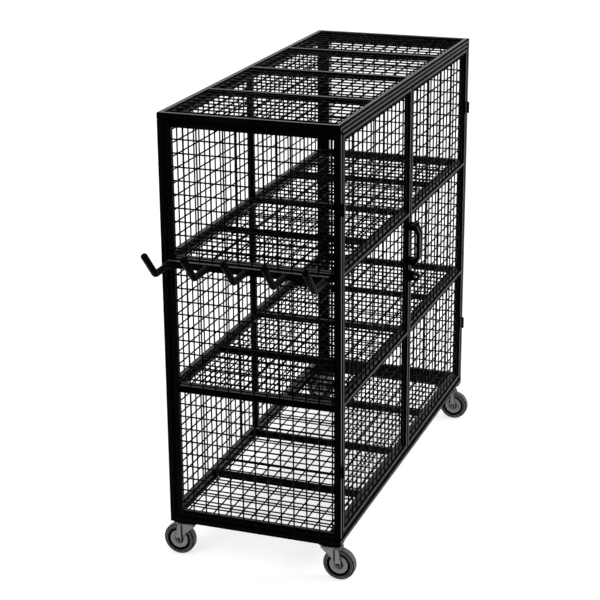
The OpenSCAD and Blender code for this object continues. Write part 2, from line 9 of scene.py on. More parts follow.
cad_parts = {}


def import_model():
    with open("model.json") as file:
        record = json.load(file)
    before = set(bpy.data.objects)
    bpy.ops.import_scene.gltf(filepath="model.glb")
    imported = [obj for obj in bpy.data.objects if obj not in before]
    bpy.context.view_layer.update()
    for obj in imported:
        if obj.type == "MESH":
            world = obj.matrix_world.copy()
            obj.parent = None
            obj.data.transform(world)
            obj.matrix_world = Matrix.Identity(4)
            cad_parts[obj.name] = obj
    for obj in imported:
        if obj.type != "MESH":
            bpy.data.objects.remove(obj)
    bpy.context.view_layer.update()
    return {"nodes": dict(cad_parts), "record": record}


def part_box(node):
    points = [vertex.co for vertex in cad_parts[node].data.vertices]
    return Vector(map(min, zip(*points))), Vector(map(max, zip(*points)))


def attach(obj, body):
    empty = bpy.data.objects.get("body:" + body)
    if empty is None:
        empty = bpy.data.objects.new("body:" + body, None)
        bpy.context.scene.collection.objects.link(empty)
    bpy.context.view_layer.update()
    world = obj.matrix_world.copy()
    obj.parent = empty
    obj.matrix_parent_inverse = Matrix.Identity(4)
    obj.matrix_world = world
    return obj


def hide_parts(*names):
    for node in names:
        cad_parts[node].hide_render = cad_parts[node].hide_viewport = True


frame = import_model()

# Every size is in metres. The near end is the one with the hooks, at -X; the doors face -Y.
MM = 0.001

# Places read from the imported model
BASE_LOW, BASE_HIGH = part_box("base_frame")
TOP_LOW, TOP_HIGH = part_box("top_frame")
CAGE_CENTRE = Vector((
    (BASE_LOW.x + BASE_HIGH.x) / 2, (BASE_LOW.y + BASE_HIGH.y) / 2, (BASE_LOW.z + TOP_HIGH.z) / 2))
CAGE_H = TOP_HIGH.z - BASE_LOW.z
CORNERS = ("near_back", "near_door", "far_back", "far_door")


# Materials

def grey(level):
    """An opaque grey."""
    return (level, level, level, 1)


def node_of(tree, kind, x=0, y=0, **inputs):
    """A shader node with some of its inputs set by name."""
    n = tree.nodes.new(kind)
    n.location = (x, y)
    for name, value in inputs.items():
        n.inputs[name.replace("_", " ")].default_value = value
    return n


def empty_tree(owner):
    """The node tree of a material or a world, without its nodes."""
    owner.use_nodes = True
    owner.node_tree.nodes.clear()
    return owner.node_tree


def new_material(name):
    """An empty material with its output and a Principled shader."""
    m = bpy.data.materials.new(name)
    tree = empty_tree(m)
    out = node_of(tree, "ShaderNodeOutputMaterial", 600)
    shader = node_of(tree, "ShaderNodeBsdfPrincipled", 300)
    tree.links.new(shader.outputs["BSDF"], out.inputs["Surface"])
    return m, tree, shader


def noise(tree, scale, detail, roughness=0.5):
    """Noise over the object's own coordinates, at scale features a metre."""
    place = node_of(tree, "ShaderNodeTexCoord", -900)
    n = node_of(tree, "ShaderNodeTexNoise", -700, Scale=scale, Detail=detail, Roughness=roughness)
    tree.links.new(place.outputs["Object"], n.inputs["Vector"])
    return n.outputs["Fac"]


def ramp(tree, fac, stops):
    """A colour ramp over a list of (place, colour) stops."""
    r = node_of(tree, "ShaderNodeValToRGB", -450)
    while len(r.color_ramp.elements) < len(stops):
        r.color_ramp.elements.new(0.5)
    for e, (place, colour) in zip(r.color_ramp.elements, stops):
        e.position = place
        e.color = (*colour, 1)
    tree.links.new(fac, r.inputs["Fac"])
    return r.outputs["Color"]


def spread(tree, fac, low, high):
    """The noise mapped from its middle range to low..high."""
    m = node_of(tree, "ShaderNodeMapRange", -450, From_Min=0.3, From_Max=0.7, To_Min=low, To_Max=high)
    tree.links.new(fac, m.inputs["Value"])
    return m.outputs["Result"]


def bump(tree, shader, height, strength, distance):
    """Lets the height tilt the shader's normals, distance metres deep."""
    b = node_of(tree, "ShaderNodeBump", 0, -300, Strength=strength, Distance=distance)
    tree.links.new(height, b.inputs["Height"])
    tree.links.new(b.outputs["Normal"], shader.inputs["Normal"])


# Specular level of each coat, and the share of its mirror that is left when it is seen square on.
# Powder coat mirrors little then, and much more at a glancing angle.
PAINT_SPECULAR = 0.08
WIRE_SPECULAR = 0.03
EDGE_SPECULAR = 0.005
SQUARE_ON = 0.04

# Grey of the painted light on upper faces, which makes them lighter as if lit from above, on the wide tubes
# and on the thin wires and edges. It begins where the upward part of a face's normal reaches the lower
# bound below, and is full from the upper bound on.
TUBE_TOP_LIGHT = 0.06
THIN_TOP_LIGHT = 0.002
TOP_LIGHT_FROM = 0.6
TOP_LIGHT_FULL = 0.95


def painted_top_light(tree, colour, top_light):
    """The colour with painted light on the faces that look up, which makes them lighter as if lit from
    above.
    """
    place = node_of(tree, "ShaderNodeNewGeometry", -900, 300)
    axes = node_of(tree, "ShaderNodeSeparateXYZ", -700, 300)
    tree.links.new(place.outputs["Normal"], axes.inputs["Vector"])
    share = node_of(tree, "ShaderNodeMapRange", -450, 300, From_Min=TOP_LIGHT_FROM, From_Max=TOP_LIGHT_FULL)
    tree.links.new(axes.outputs["Z"], share.inputs["Value"])
    mix = node_of(tree, "ShaderNodeMix", -150, 300)
    mix.data_type = "RGBA"
    own_colour, lit_colour = (s for s in mix.inputs if s.type == "RGBA")
    tree.links.new(share.outputs["Result"], mix.inputs["Factor"])
    tree.links.new(colour, own_colour)
    # The lighter grey that faces looking up take: painted light from above
    lit_colour.default_value = (top_light, top_light, 1.02 * top_light, 1)
    return next(s for s in mix.outputs if s.type == "RGBA")


def powder_coat(name, specular, top_light, dark, light, rough_low, rough_high):
    """Black powder coat: fine orange peel, soft clouds of tone, uneven gloss and painted light on the faces
    that look up.
    """
    m, tree, shader = new_material(name)
    shader.inputs["Specular IOR Level"].default_value = specular
    shader.inputs["Specular Tint"].default_value = grey(SQUARE_ON)
    clouds = noise(tree, 9, 4)
    colour = ramp(tree, clouds, [(0.35, dark), (0.7, light)])
    # Faces that look up are painted lighter, as if lit from above
    tree.links.new(painted_top_light(tree, colour, top_light), shader.inputs["Base Color"])
    tree.links.new(spread(tree, noise(tree, 40, 3), rough_low, rough_high), shader.inputs["Roughness"])
    bump(tree, shader, noise(tree, 900, 2), 0.12, 0.0003)
    return m


def zinc_plate(name, dark, light):
    """Dull zinc plating with a fine mottle."""
    m, tree, shader = new_material(name)
    colour = ramp(tree, noise(tree, 160, 5, 0.65), [(0.3, dark), (0.7, light)])
    tree.links.new(colour, shader.inputs["Base Color"])
    tree.links.new(spread(tree, noise(tree, 60, 3), 0.42, 0.6), shader.inputs["Roughness"])
    shader.inputs["Metallic"].default_value = 0.35
    bump(tree, shader, noise(tree, 1400, 2), 0.08, 0.0002)
    return m


def moulded(name, dark, light, rough, grain, specular=0.4):
    """Moulded plastic or rubber with a fine grain."""
    m, tree, shader = new_material(name)
    shader.inputs["Specular IOR Level"].default_value = specular
    colour = ramp(tree, noise(tree, 55, 5, 0.6), [(0.3, dark), (0.72, light)])
    tree.links.new(colour, shader.inputs["Base Color"])
    uneven = spread(tree, noise(tree, 90, 3), rough - 0.08, rough + 0.08)
    tree.links.new(uneven, shader.inputs["Roughness"])
    bump(tree, shader, noise(tree, grain, 2), 0.15, 0.0003)
    return m


# The tubes get strong painted light on their upper faces; the wires and edges get very little
PAINT = powder_coat("black_powder_coat", PAINT_SPECULAR, TUBE_TOP_LIGHT,
                    (0.0006, 0.0006, 0.0007), (0.0016, 0.0016, 0.0018), 0.24, 0.36)
WIRE_PAINT = powder_coat("mesh_powder_coat", WIRE_SPECULAR, THIN_TOP_LIGHT,
                         (0.0005, 0.0005, 0.0006), (0.0014, 0.0014, 0.0016), 0.3, 0.45)
EDGE_PAINT = powder_coat("edge_powder_coat", EDGE_SPECULAR, THIN_TOP_LIGHT,
                         (0.0005, 0.0005, 0.0006), (0.0012, 0.0012, 0.0014), 0.55, 0.65)
ZINC = zinc_plate("zinc_plate", (0.17, 0.172, 0.175), (0.23, 0.233, 0.237))
BOLT_ZINC = zinc_plate("bolt_zinc", (0.22, 0.222, 0.225), (0.34, 0.342, 0.345))
WHEEL = moulded("wheel_plastic", (0.2, 0.202, 0.205), (0.24, 0.243, 0.246), 0.5, 1500)
# Near-black for painted shade in the casters' grooves, channels and round the axle heads; the axle nuts
# take it too
PAINTED_SHADE = moulded("painted_shade_black", (0.0015, 0.0015, 0.0017), (0.004, 0.004, 0.0044), 0.7, 1500, 0.005)
TYRE = moulded("tyre_rubber", (0.065, 0.066, 0.067), (0.155, 0.156, 0.158), 0.62, 1100, 0.12)

SLOT_MATERIAL = {
    "black_paint": PAINT,
    "mesh_paint": WIRE_PAINT,
    "zinc": ZINC,
    "wheel_grey": WHEEL,
    "tyre": TYRE,
}
NODE_SLOT = {s["node"]: s["material_slot"] for s in frame["record"]["subparts"]}
NODE_BODY = {n: b for b, nodes in frame["record"]["behaviour"]["bodies"].items() for n in nodes}


# Pieces

def add_object(name, data):
    """A new object in the scene."""
    made = bpy.data.objects.new(name, data)
    bpy.context.scene.collection.objects.link(made)
    return made


def add_piece(name, bm, body, slot_name, material=None, smooth_deg=38):
    """Turns a bmesh into a piece that rides on a body and takes its finish from a slot."""
    mesh = bpy.data.meshes.new(name)
    bm.to_mesh(mesh)
    bm.free()
    mesh.materials.append(material or SLOT_MATERIAL[slot_name])
    mesh.shade_smooth()
    mesh.set_sharp_from_angle(angle=math.radians(smooth_deg))
    piece = add_object(name, mesh)
    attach(piece, body)
    return piece


def weigh_normals(piece):
    """Flat faces keep their shading beside rounded edges."""
    weight = piece.modifiers.new("weighted_normals", "WEIGHTED_NORMAL")
    weight.keep_sharp = True


def islands(bm):
    """The connected groups of vertices of a bmesh."""
    seen = set()
    groups = []
    for start in bm.verts:
        if start.index in seen:
            continue
        seen.add(start.index)
        group = [start]
        for v in group:
            for e in v.link_edges:
                w = e.other_vert(v)
                if w.index not in seen:
                    seen.add(w.index)
                    group.append(w)
        groups.append(group)
    return groups


def joined_copy(node):
    """The CAD node as a bmesh whose faces share their vertices."""
    bm = bmesh.new()
    bm.from_mesh(frame["nodes"][node].data)
    bmesh.ops.remove_doubles(bm, verts=bm.verts, dist=0.01 * MM)
    bm.verts.index_update()
    return bm


def clean_copy(node):
    """The CAD node as a bmesh of flat faces, without the closed hollows inside its tubes."""
    bm = joined_copy(node)
    inner = []
    for group in islands(bm):
        faces = {f for v in group for f in v.link_faces}
        volume = sum(f.calc_area() * f.normal.dot(f.calc_center_median()) for f in faces)
        if volume < 0:
            inner += group
    bmesh.ops.delete(bm, geom=inner, context="VERTS")
    bmesh.ops.dissolve_limit(bm, angle_limit=math.radians(1), verts=bm.verts, edges=bm.edges)
    return bm


SHARP = math.radians(30)


def sharp_edges(bm, shortest=0):
    """The outer sharp edges that are longer than shortest, which leaves out the rims of small holes."""
    return [e for e in bm.edges if len(e.link_faces) == 2 and e.is_convex and e.calc_length() > shortest
            and e.calc_face_angle(0) > SHARP]


def round_edges(bm, edges, radius, segments):
    """Rounds the edges and returns the new faces."""
    made = bmesh.ops.bevel(bm, geom=edges, offset=radius, segments=segments, profile=0.5,
                           affect="EDGES", clamp_overlap=True)
    return made["faces"]


def darken(faces):
    """The faces take their piece's second material."""
    for f in faces:
        f.material_index = 1


def rounded(node, radius, segments=2, edge_material=None, shortest=0, border=0):
    """A copy of a CAD node with its edges rounded, which stands for the node.

    The rounded edges take edge_material, and so does a border of that width round each flat face.
    """
    bm = clean_copy(node)
    faces = round_edges(bm, sharp_edges(bm, shortest), radius, segments)
    if edge_material:
        darken(faces)
    if border:
        flat = [f for f in bm.faces if f.material_index == 0]
        made = bmesh.ops.inset_region(bm, faces=flat, thickness=border, use_boundary=True,
                                      use_even_offset=True)
        darken(made["faces"])
    slot_name = NODE_SLOT[node]
    piece = add_piece(node + "_skin", bm, NODE_BODY[node], slot_name, smooth_deg=50)
    if edge_material:
        piece.data.materials.append(edge_material)
    weigh_normals(piece)
    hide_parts(node)


def tube_frames():
    """The welded tube frames, with the rounded corners of drawn tube, darker than its faces."""
    for node in ("base_frame", "top_frame", "near_end_frame", "far_end_frame", "near_door_frame",
                 "far_door_frame"):
        rounded(node, 3 * MM, 4, EDGE_PAINT, 2 * MM, 4 * MM)
    for node in ("back_frame", "front_stop_rail", "lower_shelf_frame", "upper_shelf_frame", "hook_bar"):
        rounded(node, 3 * MM, 4, EDGE_PAINT, 2 * MM, 2 * MM)
    rounded("door_header", 2 * MM, 3, EDGE_PAINT)
    for node in ("corner_pads", "caster_plates"):
        rounded(node, 1.2 * MM, 2, EDGE_PAINT, 2 * MM)


# Turned and swept forms

def axes_of(direction):
    """A unit axis along the direction, and two more square to it."""
    axis = Vector(direction).normalized()
    u = axis.orthogonal().normalized()
    return axis, u, axis.cross(u)


def add_ring(bm, centre, u, v, radius, sides):
    """A ring of vertices round centre, in the plane of u and v."""
    return [bm.verts.new(centre + radius * (math.cos(a) * u + math.sin(a) * v))
            for a in (2 * math.pi * i / sides for i in range(sides))]


def join_rings(bm, a, b):
    """Faces between two rings of as many vertices."""
    n = len(a)
    return [bm.faces.new((a[i], a[(i + 1) % n], b[(i + 1) % n], b[i])) for i in range(n)]


def join_all(bm, rings):
    """Faces from each ring to the next and from the last to the first."""
    for i, ring in enumerate(rings):
        join_rings(bm, ring, rings[(i + 1) % len(rings)])


def edge_is_dark(dark, a, b):
    """Whether the faces between two profile points take a piece's second, dark material.

    The function dark is asked with the middle of the two, by its distance from the piece's centre.
    """
    return bool(dark) and dark(abs(a[0] + b[0]) / 2, (a[1] + b[1]) / 2)


def add_turned(bm, centre, axis, profile, sides, closed=False, dark=None):
    """A form turned round an axis from a profile of (distance along the axis, radius) in metres.

    An open profile gets a cap at each end, a closed one makes a ring. The function dark says by
    distance and radius which faces take the second material.
    """
    axis, u, v = axes_of(axis)
    rings = [add_ring(bm, centre + axis * s, u, v, r, sides) for s, r in profile]
    pairs = list(zip(range(len(rings)), range(1, len(rings))))
    if closed:
        pairs.append((len(rings) - 1, 0))
    else:
        bm.faces.new(list(reversed(rings[0])))
        bm.faces.new(rings[-1])
    for i, j in pairs:
        faces = join_rings(bm, rings[i], rings[j])
        if edge_is_dark(dark, profile[i], profile[j]):
            darken(faces)


def add_prism(bm, start, end):
    """A solid between two outlines of as many points; returns its faces, the end's last."""
    a = [bm.verts.new(p) for p in start]
    b = [bm.verts.new(p) for p in end]
    faces = join_rings(bm, a, b)
    faces.append(bm.faces.new(list(reversed(a))))
    faces.append(bm.faces.new(b))
    return faces


def arc(centre, radius, first, last, steps=8):
    """Points of an arc between two angles in degrees."""
    angles = [math.radians(first + (last - first) * i / steps) for i in range(steps + 1)]
    return [(centre[0] + radius * math.cos(a), centre[1] + radius * math.sin(a)) for a in angles]


# Hooks

HOOK_D = 25 * MM
# The level part and the rising part, each measured to the corner that the bend rounds off
HOOK_SHANK = 114 * MM
HOOK_ARM = 126 * MM
HOOK_ANGLE = math.radians(47)
HOOK_BEND = 20 * MM
HOOK_COUNT = 5
HOOK_SIDES = 40
# From the first hook to the last
HOOK_SPAN = 592 * MM
BEND_STEPS = 12
END_ROUND = 1.2 * MM
WELD = 3.2 * MM
WELD_SIDES = 48


def hook_path():
    """Centre line of a hook from the bar, as (distance out, height, direction as an angle)."""
    tangent = HOOK_BEND * math.tan(HOOK_ANGLE / 2)
    level = HOOK_SHANK - tangent
    points = [(0, 0, 0)]
    for i in range(BEND_STEPS + 1):
        a = HOOK_ANGLE * i / BEND_STEPS
        points.append((level + HOOK_BEND * math.sin(a), HOOK_BEND * (1 - math.cos(a)), a))
    rise = HOOK_ARM - tangent
    end_x, end_z, a = points[-1]
    points.append((end_x + rise * math.cos(a), end_z + rise * math.sin(a), a))
    return points


def add_hook(bm, root):
    """One bent tube whose path leaves the bar at root towards -X."""
    side = Vector((0, 1, 0))
    radius = HOOK_D / 2
    rings = []
    path = hook_path()
    rounded_end = ((END_ROUND, 0), (END_ROUND * 0.3, END_ROUND * 0.3), (0, END_ROUND))
    for k, (out, up, a) in enumerate(path):
        along = Vector((-math.cos(a), 0, math.sin(a)))
        normal = side.cross(along)
        centre = root + Vector((-out, 0, up))
        steps = rounded_end if k == len(path) - 1 else ((0, 0),)
        for back, inset in steps:
            place = centre - along * back
            rings.append(add_ring(bm, place, side, normal, radius - inset, HOOK_SIDES))
    for a, b in zip(rings, rings[1:]):
        join_rings(bm, a, b)
    bm.faces.new(list(reversed(rings[0])))
    bm.faces.new(rings[-1])


def add_weld_ring(bm, centre, axis, radius, size, seed):
    """A weld bead round a tube's root, with the ripples of a hand-made weld."""
    axis, u, v = axes_of(axis)
    # Distance along the tube and out from it, in parts of the bead's size
    section = [(0, -0.3), (0, 1.0), (0.35, 0.8), (0.75, 0.3), (1.0, -0.1), (0.5, -0.3)]
    rings = []
    for s, r in section:
        ring = []
        for i in range(WELD_SIDES):
            a = 2 * math.pi * i / WELD_SIDES
            ripple = 1 + 0.12 * math.sin(11 * a + seed) + 0.06 * math.sin(23 * a + 2 * seed)
            out = radius + size * (r * ripple if r > 0 else r)
            along = axis * size * s * ripple
            ring.append(bm.verts.new(centre + along + out * (math.cos(a) * u + math.sin(a) * v)))
        rings.append(ring)
    join_all(bm, rings)


def hooks():
    """The five bent tubes, and the weld beads that hold them to their bar."""
    bar_low, bar_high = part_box("hook_bar")
    low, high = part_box("hooks")
    first = (low.y + high.y) / 2 - HOOK_SPAN / 2
    pitch = HOOK_SPAN / (HOOK_COUNT - 1)
    tubes = bmesh.new()
    welds = bmesh.new()
    for i in range(HOOK_COUNT):
        root = Vector((bar_low.x, first + i * pitch, (bar_low.z + bar_high.z) / 2))
        add_hook(tubes, root)
        add_weld_ring(welds, root, (-1, 0, 0), HOOK_D / 2, WELD, i)
    for bm in (tubes, welds):
        bmesh.ops.recalc_face_normals(bm, faces=bm.faces)
    tube = add_piece("hook_tubes", tubes, "root", "black_paint", WIRE_PAINT, 35)
    add_piece("hook_welds", welds, "root", "black_paint", smooth_deg=60)
    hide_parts("hooks")


# Casters

JOINT_AT = {j["name"]: Vector(j["pos_m"]) for j in frame["record"]["behaviour"]["joints"]}
TYRE_LOW, TYRE_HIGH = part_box("near_door_tyre")
WHEEL_R = (TYRE_HIGH.z - TYRE_LOW.z) / 2
WHEEL_HALF = (TYRE_HIGH.x - TYRE_LOW.x) / 2
WHEEL_SIDES = 120
# Radii of the wheel's bore, bearing shield, disc and rim, and of the axle
BORE_R = 4.1 * MM
SHIELD_R = 17 * MM
DISC_R = 36 * MM
RIM_R = 44.5 * MM
AXLE_R = 4 * MM
# The bands of painted shade in the grooves of a tyre's side, from and to, in millimetres outwards from the
# rim
TYRE_BANDS = ((4.5, 7.2), (12.1, 15.3))


def mirrored(profile):
    """A half profile from the outer face inwards, completed on the other side."""
    return profile + [(-s, r) for s, r in reversed(profile)]


def turned_piece(name, corner, profile, body, slot_name, dark, smooth_deg=30):
    """A ring turned round a caster's axle, with painted shade in its grooves."""
    bm = bmesh.new()
    add_turned(bm, JOINT_AT[corner + "_wheel_spin"], (1, 0, 0), profile, WHEEL_SIDES, True, dark)
    bmesh.ops.recalc_face_normals(bm, faces=bm.faces)
    piece = add_piece(name, bm, body, slot_name, smooth_deg=smooth_deg)
    piece.data.materials.append(PAINTED_SHADE)
    return piece


def inwards(steps, radius):
    """Profile points from (inwards from the wheel's side, outwards from radius) in millimetres."""
    return [(WHEEL_HALF - s * MM, radius + r * MM) for s, r in steps]


def wheel(corner):
    """Moulded centre and a tyre with ringed sides, with painted shade on the bearing shield, in the groove
    between disc and tyre, and in the tyre's grooves.
    """
    body = corner + "_wheel"
    centre = inwards([(-1.4, 0)], BORE_R) + inwards([(-1.4, -0.8), (-0.6, 0), (2.6, 0.1)], SHIELD_R)
    centre += inwards([(2.4, -18.5), (2.4, -5), (2.0, -4.2), (2.0, -1.4), (2.6, -0.4), (10, 0)], DISC_R)
    centre += inwards([(10, 0)], RIM_R)
    # Painted shade on the bearing shield and in the groove between the disc and the rim
    hub = turned_piece(corner + "_wheel_centre", corner, mirrored(centre), body, "wheel_grey",
                       lambda s, r: r < SHIELD_R + 0.2 * MM or r > DISC_R - 0.6 * MM)
    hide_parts(corner + "_hub")
    side = inwards([
        (10, 0.02), (1.0, 0.02), (0.2, 1.2), (0, 1.8), (0, 4.4), (1.4, 4.7), (1.4, 7.0), (0.2, 7.3),
        (0.2, 10.6), (0.8, 12.0), (2.0, 12.3), (3.8, 15.0), (3.6, 15.5), (5.2, 16.6), (6.6, 17.4)], RIM_R)
    side += inwards([(9, -0.15), (15, 0)], WHEEL_R)
    bands = [(RIM_R + low * MM, RIM_R + high * MM) for low, high in TYRE_BANDS]
    # Painted shade beside the rim and in the ringed grooves of the tyre's side
    tyre = turned_piece(corner + "_tyre_tread", corner, mirrored(side), body, "tyre",
                        lambda s, r: r < RIM_R + 1.6 * MM or any(low < r < high for low, high in bands), 24)
    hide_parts(corner + "_tyre")


# The two faces of a leg and the outer face of its rib, from the middle of the fork
FORK_IN = 20 * MM
FORK_OUT = 23 * MM
RIB_OUT = 25.5 * MM
SHEET_T = 3 * MM
# How far the axle stands behind the king pin
TRAIL = 30 * MM
CROWN_EDGE = 5 * MM
CROWN_BEND = 5 * MM
# The rib's upper end along the leg, where the axle is at -TRAIL
RIB_TOP = (-33 * MM, -17 * MM)
RIB_END_R = 13 * MM
# Widths of the painted-shade borders round the rib's raised top and round the sheet's raised panel
RIB_BORDER = 1.8 * MM
SHEET_BORDER = 1.6 * MM
# Inner and outer radius of the washer, which is painted shade all over
WASHER = (5.8 * MM, 8.8 * MM)
WASHER_T = 1 * MM
WASHER_SIDES = 48
RACE_R = 25 * MM
RACE_H = 3 * MM
RACE_EASE = 0.8 * MM
RACE_SIDES = 64
# Width of the channel of painted shade beside the rib, and thickness of the raised panel beside it
CHANNEL_W = 5 * MM
PANEL_T = 1.2 * MM


def rib_outline(top, low, border):
    """The raised rib in the plane of a leg, as (y, z) points, drawn in by a border."""
    outline = [(RIB_TOP[0] + border, top - border), (RIB_TOP[1] - border, top - border)]
    return outline + arc((-TRAIL, low), RIB_END_R - border, 0, -180, 24)


def crown_outline(top):
    """The bent sheet of the crown across the fork, as (x, z) points."""
    inner_r = CROWN_BEND - SHEET_T
    middle = (FORK_OUT - CROWN_BEND, top - CROWN_BEND)
    right = [(FORK_OUT - SHEET_T, middle[1] - 0.5 * MM)] + arc(middle, inner_r, 0, 90)
    right_out = arc(middle, CROWN_BEND, 90, 0) + [(FORK_OUT, middle[1] - 0.5 * MM)]
    left = [(-x, z) for x, z in reversed(right)]
    left_out = [(-x, z) for x, z in reversed(right_out)]
    return right + left + left_out + right_out


def fork(corner):
    """Pressed fork: bent crown, legs with a raised rib beside a channel of painted shade, painted-shade
    borders round the rib and the panel, washers of painted shade at the axle, and the lower race.
    """
    spin = JOINT_AT[corner + "_wheel_spin"]
    swivel = JOINT_AT[corner + "_swivel_turn"]
    box_low, box_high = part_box(corner + "_fork")
    top = box_high.z - RACE_H
    low = spin.z
    out = 1 if spin.y < swivel.y else -1
    crown_half = box_high.y - swivel.y if out > 0 else swivel.y - box_low.y
    edge = top - CROWN_EDGE
    channel = RIB_TOP[1] + CHANNEL_W
    slope = (edge - low) / (crown_half + TRAIL)
    sheet = [(crown_half, edge), (-TRAIL, low), (-crown_half, edge)]
    lift = SHEET_BORDER * math.sqrt(1 + slope * slope)
    panel_low = low + (channel + TRAIL) * slope + lift
    panel = [(crown_half - lift / slope, edge), (channel, panel_low), (channel, edge)]
    rib_top = top - 1 * MM
    bm = bmesh.new()
    # The dark faces are painted shade: the sheet's outer face shows as a channel beside the rib and a
    # border round the panel, the rib's lower face as a border round its raised top
    for leg in (-1, 1):
        for outline, inner, outer, dark in (
                (sheet, FORK_IN, FORK_OUT - PANEL_T, True),
                (panel, FORK_OUT - 1.5 * PANEL_T, FORK_OUT, False),
                (rib_outline(rib_top, low, 0), FORK_IN, RIB_OUT - 0.8 * MM, True),
                (rib_outline(rib_top, low, RIB_BORDER), RIB_OUT - 1.2 * MM, RIB_OUT - 0.3 * MM, False)):
            ends = [[Vector((swivel.x + leg * x, swivel.y + out * y, z)) for y, z in outline]
                    for x in (inner, outer)]
            faces = add_prism(bm, *ends)
            if dark:
                darken(faces[-1:])
    ends = [[Vector((swivel.x + x, swivel.y + y, z)) for x, z in crown_outline(top)]
            for y in (-crown_half, crown_half)]
    add_prism(bm, *ends)
    bmesh.ops.recalc_face_normals(bm, faces=bm.faces)
    round_edges(bm, sharp_edges(bm), 0.5 * MM, 2)
    race = [(-0.5 * MM, RACE_R - 1 * MM), (0, RACE_R), (RACE_H - RACE_EASE, RACE_R),
            (RACE_H, RACE_R - RACE_EASE)]
    add_turned(bm, Vector((swivel.x, swivel.y, top)), (0, 0, 1), race, RACE_SIDES)
    bore, rim = WASHER
    washer = [(0, bore), (0, rim), (0.8 * MM, rim), (WASHER_T, rim - 0.2 * MM), (WASHER_T, bore)]
    # Washers of painted shade round the axle where it leaves the ribs
    for leg in (-1, 1):
        centre = Vector((swivel.x + leg * (RIB_OUT - WASHER_T), spin.y, low))
        add_turned(bm, centre, (leg, 0, 0), washer, WASHER_SIDES, True, lambda s, r: True)
    piece = add_piece(corner + "_fork_sheet", bm, corner + "_swivel", "zinc", smooth_deg=50)
    piece.data.materials.append(PAINTED_SHADE)
    weigh_normals(piece)
    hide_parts(corner + "_fork")


NUT_STEPS = 24
NUT_H = 4 * MM
NUT_ACROSS = 11.7 * MM
NUT_BORE = 3.98 * MM
# How far the bolt's end stands out of the nut
THREAD_OUT = 1 * MM
# Angle of one side of a hexagon
HEX = math.pi / 3


def add_hex_nut(bm, centre, axis, across, height, bore):
    """A hexagon nut with chamfered corners and a bore, from centre along axis."""
    axis, u, v = axes_of(axis)
    corner_r = across / math.sqrt(3)
    chamfer = 0.12 * height
    rings = []
    for s, r, hexagonal in ((0, bore, False), (0, across / 2, False), (chamfer, corner_r, True),
                            (height - chamfer, corner_r, True), (height, across / 2, False),
                            (height, bore, False)):
        ring = []
        for i in range(NUT_STEPS):
            a = 2 * math.pi * i / NUT_STEPS
            radius = r
            if hexagonal:
                facet = (a + HEX / 2) % HEX - HEX / 2
                radius = r * math.cos(HEX / 2) / math.cos(facet)
            ring.append(bm.verts.new(centre + axis * s + radius * (math.cos(a) * u + math.sin(a) * v)))
        rings.append(ring)
    join_all(bm, rings)


def axle(corner):
    """Axle bolt: a round head with a ring of painted shade, a shaft and a black nut round the bolt's end.
    """
    node = corner + "_axle"
    low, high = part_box(node)
    outward = -1 if corner.startswith("near") else 1
    centre = JOINT_AT[corner + "_wheel_spin"]
    length = high.x - low.x
    start = Vector((low.x if outward < 0 else high.x, centre.y, centre.z))
    inward = Vector((-outward, 0, 0))
    bm = bmesh.new()
    # The head as (depth, radius) in millimetres, from its middle outwards
    head = [(0.5, 0.3), (0.1, 1.4), (0.3, 2.4), (0.9, 2.9), (2.2, 3.1), (2.2, 4.6), (0.5, 4.9), (0.1, 5.4),
            (0.5, 6.1), (1.0, 6.4), (4.0, 6.4), (4.0, 4.0)]
    profile = [(s * MM, r * MM) for s, r in head]
    profile += [(length - 0.6 * MM, AXLE_R), (length - 0.1 * MM, AXLE_R - 0.6 * MM)]
    # The head's outer ring is painted shade
    add_turned(bm, start, inward, profile, 32, dark=lambda s, r: 2.8 * MM < r and s < 3.9 * MM)
    first = len(bm.faces)
    nut_at = start + inward * (length - THREAD_OUT - NUT_H)
    add_hex_nut(bm, nut_at, inward, NUT_ACROSS, NUT_H, NUT_BORE)
    bm.faces.ensure_lookup_table()
    darken(bm.faces[first:])
    bmesh.ops.recalc_face_normals(bm, faces=bm.faces)
    piece = add_piece(corner + "_axle_bolt", bm, corner + "_swivel", "zinc", BOLT_ZINC, 30)
    piece.data.materials.append(PAINTED_SHADE)
    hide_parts(node)


def casters():
    """The four swivel casters."""
    rounded("caster_king_pins", 0.5 * MM)
    rounded("caster_plate_bolts", 0.4 * MM)
    for corner in CORNERS:
        fork(corner)
        axle(corner)
        wheel(corner)


def hardware():
    """Hinges, handles and their bolts, with eased edges."""
    for side in ("near", "far"):
        rounded(side + "_post_hinges", 0.6 * MM)
        rounded(side + "_door_hinges", 0.6 * MM)
        rounded(side + "_hinge_pins", 0.5 * MM)
        rounded(side + "_handle_bolts", 0.5 * MM)
        rounded(side + "_handle", 4 * MM, 5, EDGE_PAINT, 2 * MM, 1.5 * MM)
        rounded(side + "_lug", 0.8 * MM, 2, EDGE_PAINT)


# Wire mesh

WIRE_SIDES = 12
NUGGET_SIDES = 8
# The coat that is drawn round each wire. Crossing wires press into each other by it, so that the mesh
# stays as thick as it is.
WIRE_COAT = 0.4 * MM


def wires_of(node):
    """The coated wires of a CAD mesh as (start, end, radius, axis), read from its separate solids."""
    bm = joined_copy(node)
    found = []
    for group in islands(bm):
        co = np.array([v.co for v in group])
        low, high = co.min(0), co.max(0)
        axis = int(np.argmax(high - low))
        middle = (low + high) / 2
        start, end = middle.copy(), middle.copy()
        start[axis], end[axis] = low[axis], high[axis]
        radius = float(max((high - low)[i] for i in range(3) if i != axis)) / 2
        found.append((Vector(start), Vector(end), radius, axis))
    bm.free()
    across = ({0, 1, 2} - {wire[3] for wire in found}).pop()
    levels = [wire[0][across] for wire in found]
    middle = (min(levels) + max(levels)) / 2
    coated = []
    for start, end, radius, axis in found:
        step = math.copysign(WIRE_COAT, middle - start[across])
        start[across] += step
        end[across] += step
        coated.append((start, end, radius + WIRE_COAT, axis))
    return coated


